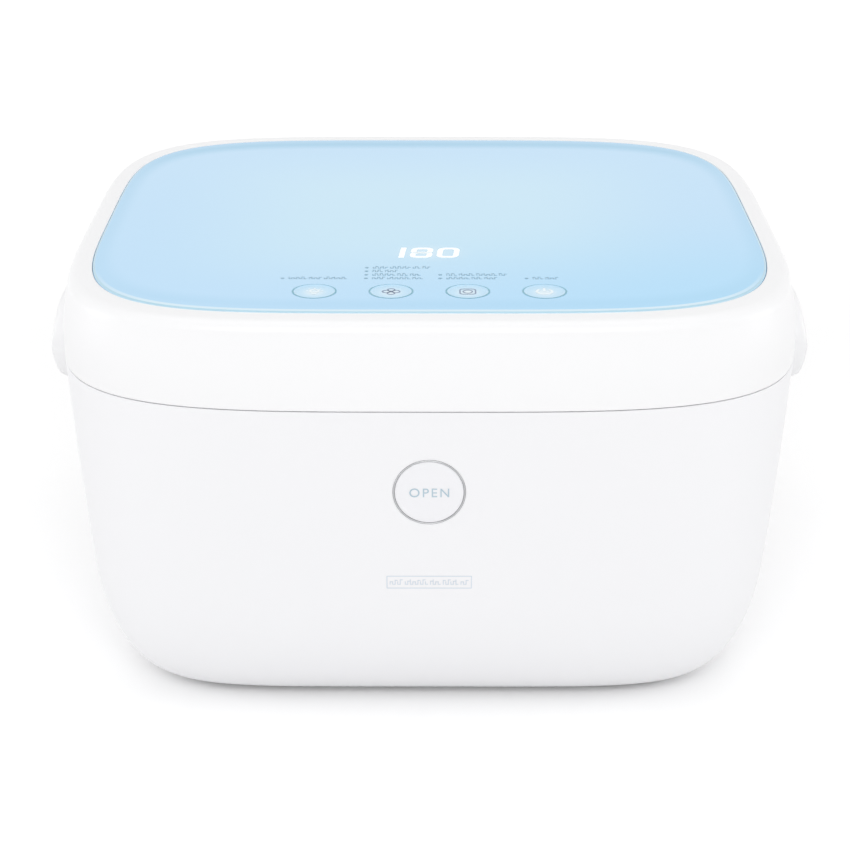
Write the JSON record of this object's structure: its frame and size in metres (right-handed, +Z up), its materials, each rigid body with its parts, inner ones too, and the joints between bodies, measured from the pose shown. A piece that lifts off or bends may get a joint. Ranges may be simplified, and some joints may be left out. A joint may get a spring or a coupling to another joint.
{
  "type": "ultraviolet sterilizer box",
  "caption": "White rounded countertop ultraviolet sterilizer box with a hinged lid topped by a pale blue touch glass, a round push button to open it and a swinging carry handle.",
  "frame": {"origin": "bottom centre of the bounding box, on the plane the feet stand on", "axes": "+X to the right seen from the front, -Y toward the front with the opening button, +Z up"},
  "size_m": [0.3678, 0.3378, 0.2042],
  "materials": {
    "white_plastic": "smooth satin-gloss white ABS",
    "white_button": "smooth white ABS",
    "blue_glass": "tempered glass printed pale blue on its back",
    "bright_metal": "mirror-finished stainless sheet",
    "steel": "bright drawn steel",
    "ring_metal": "satin plated",
    "grey_rubber": "matt",
    "silicone": "matt translucent white silicone",
    "quartz": "clear quartz sheet",
    "board_green": "solder-masked glass-fibre board",
    "board_white": "white-masked aluminium-core board",
    "black_plastic": "moulded matt",
    "grey_plastic": "moulded matt",
    "aluminium": "plain mill finish",
    "magnet_nickel": "nickel plated"
  },
  "bodies": {
    "base": {"outer_body": "white_plastic", "bottom_cover": "white_plastic", "top_deck": "white_plastic", "inner_liner": "bright_metal", "base_lamp_window": "quartz", "base_lamp_board": "board_white", "main_board": "board_green", "power_jack": "black_plastic", "blower_housing": "black_plastic", "blower_motor": "steel", "air_duct": "grey_plastic", "duct_heater": "aluminium", "button_ring": "ring_metal", "button_spring": "steel", "latch_guide": "white_plastic", "reed_sensor": "black_plastic", "hinge_pin": "steel", "hinge_spring": "steel", "pivot_stud_1": "grey_plastic", "pivot_stud_2": "grey_plastic", "foot_1": "grey_rubber", "cover_screw_1": "steel", "foot_2": "grey_rubber", "cover_screw_2": "steel", "foot_3": "grey_rubber", "cover_screw_3": "steel", "foot_4": "grey_rubber", "cover_screw_4": "steel"},
    "lid": {"lid_shell": "white_plastic", "glass_panel": "blue_glass", "lid_underplate": "white_plastic", "lid_reflector": "bright_metal", "lid_gasket": "silicone", "lid_lamp_window": "quartz", "lid_lamp_board": "board_white", "touch_board": "board_green", "display_module": "black_plastic", "board_bracket": "white_plastic", "lid_catch": "grey_plastic", "lid_magnet": "magnet_nickel", "lid_screw_1": "steel", "lid_screw_2": "steel", "lid_screw_3": "steel", "lid_screw_4": "steel"},
    "handle": {"carry_handle": "white_plastic"},
    "button": {"open_button": "white_button"},
    "latch": {"latch_slider": "grey_plastic"},
    "impeller": {"blower_impeller": "grey_plastic"},
    "rack": {"wire_rack": "steel"}
  },
  "joints": [
    {"name": "lid_hinge", "type": "hinge", "parent": "base", "child": "lid", "pos_m": [0, 0.1473, 0.1546], "axis": [-1, 0, 0], "range_deg": [0, 85], "deforming": ["hinge_spring"]},
    {"name": "handle_swing", "type": "hinge", "parent": "base", "child": "handle", "pos_m": [0, -0.0141, 0.1396], "axis": [-1, 0, 0], "range_deg": [-95, 0]},
    {"name": "open_button_press", "type": "slide", "parent": "base", "child": "button", "axis": [0, 0.994, 0.1093], "range_m": [0, 0.0025], "stiffness_N_per_m": 400, "springref_m": -0.002, "deforming": ["button_spring"]},
    {"name": "latch_slide", "type": "slide", "parent": "base", "child": "latch", "axis": [0, 1, 0], "range_m": [0, 0.0025]},
    {"name": "fan_spin", "type": "hinge", "parent": "base", "child": "impeller", "pos_m": [0.052, 0, 0.084], "axis": [0, 1, 0], "continuous": true},
    {"name": "rack_lift", "type": "slide", "parent": "base", "child": "rack", "axis": [0, 0, 1], "range_m": [0, 0.08]}
  ],
  "couplings": [
    {"joint": "latch_slide", "follows": "open_button_press", "ratio": 0.99401}
  ]
}
